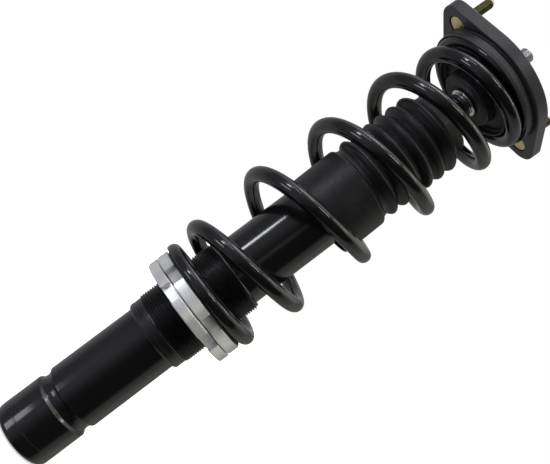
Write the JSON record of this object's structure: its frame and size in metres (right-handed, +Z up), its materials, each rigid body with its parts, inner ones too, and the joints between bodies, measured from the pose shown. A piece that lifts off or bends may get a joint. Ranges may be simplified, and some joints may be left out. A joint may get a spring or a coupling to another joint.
{
  "type": "coil-over suspension strut",
  "caption": "Height-adjustable coil-over suspension strut with a threaded damper body, notched spring perch and lock ring, coil spring, dust boot and studded top mount.",
  "frame": {"origin": "centre of the flat bottom of the damper tube's end cap", "axes": "+Z up the strut along the piston rod, +X through the centre of one top-mount stud, towards mount_stud_1"},
  "size_m": [0.1386, 0.1064, 0.47],
  "materials": {
    "gloss_black_paint": "satin-gloss black paint",
    "spring_black_paint": "glossy black powder coat",
    "black_coated_steel": "satin black coating",
    "mount_black_coating": "satin dark charcoal coating",
    "dark_phosphate_steel": "matt phosphate, oiled",
    "bare_aluminium": "turned, fine concentric brushing",
    "bright_steel": "bright zinc or ground steel",
    "hard_chrome": "ground and polished hard chrome",
    "yellow_zinc": "yellow zinc plating",
    "black_rubber": "matt",
    "boot_rubber": "matt, lightly powdered",
    "yellow_foam": "microcellular foam",
    "brown_plastic": "bronze-filled low-friction plastic"
  },
  "bodies": {
    "strut_body": {"strut_tube": "gloss_black_paint", "end_cap": "gloss_black_paint", "threaded_sleeve": "black_coated_steel", "base_valve": "dark_phosphate_steel", "inner_cylinder": "bright_steel", "rod_guide": "dark_phosphate_steel", "rod_seal": "black_rubber", "gland_nut": "dark_phosphate_steel"},
    "perch_carrier": {"perch_isolator": "black_rubber", "coil_spring": "spring_black_paint"},
    "perch": {"spring_perch": "bare_aluminium"},
    "lock_ring_body": {"lock_ring": "bare_aluminium"},
    "upper_seat_body": {"upper_spring_seat": "black_coated_steel", "bearing_lower_race": "bright_steel"},
    "ball_ring_body": {"bearing_ball_ring": "bright_steel"},
    "rod_and_top_mount": {"piston_rod": "hard_chrome", "piston": "dark_phosphate_steel", "piston_band": "brown_plastic", "piston_nut": "bright_steel", "rebound_stop": "dark_phosphate_steel", "rod_washer": "bright_steel", "bump_stop_cup": "black_coated_steel", "bearing_upper_race": "bright_steel", "seat_shield": "black_rubber", "spacer_tube": "bright_steel", "top_mount_plate": "mount_black_coating", "mount_bush": "black_rubber", "mount_stud_1": "yellow_zinc", "mount_stud_2": "yellow_zinc", "rod_top_washer": "bright_steel", "rod_nut": "bright_steel"},
    "boot_body": {"dust_boot": "boot_rubber", "bump_stop": "yellow_foam"}
  },
  "joints": [
    {"name": "perch_height", "type": "slide", "parent": "strut_body", "child": "perch_carrier", "axis": [0, 0, 1], "range_m": [-0.01, 0]},
    {"name": "perch_turn", "type": "hinge", "parent": "perch_carrier", "child": "perch", "pos_m": [0, 0, 0.1557], "axis": [0, 0, 1], "range_deg": [-1800, 0]},
    {"name": "lock_ring_release", "type": "slide", "parent": "perch", "child": "lock_ring_body", "axis": [0, 0, 1], "range_m": [-0.006, 0]},
    {"name": "damper_stroke", "type": "slide", "parent": "perch_carrier", "child": "upper_seat_body", "axis": [0, 0, 1], "range_m": [-0.07, 0], "stiffness_N_per_m": 50000, "springref_m": 0.004, "deforming": ["coil_spring"]},
    {"name": "strut_bearing", "type": "hinge", "parent": "upper_seat_body", "child": "rod_and_top_mount", "pos_m": [0, 0, 0.4255], "axis": [0, 0, 1], "range_deg": [-45, 45]},
    {"name": "ball_ring_turn", "type": "hinge", "parent": "upper_seat_body", "child": "ball_ring_body", "pos_m": [0, 0, 0.4255], "axis": [0, 0, 1], "range_deg": [-22.5, 22.5]},
    {"name": "boot_slide", "type": "slide", "parent": "rod_and_top_mount", "child": "boot_body", "axis": [0, 0, 1], "range_m": [0, 0.02]}
  ],
  "couplings": [
    {"joint": "perch_height", "follows": "perch_turn", "m_per_rad": 0.00031831},
    {"joint": "ball_ring_turn", "follows": "strut_bearing", "ratio": 0.5},
    {"joint": "boot_slide", "follows": "damper_stroke", "ratio": -0.28571}
  ]
}
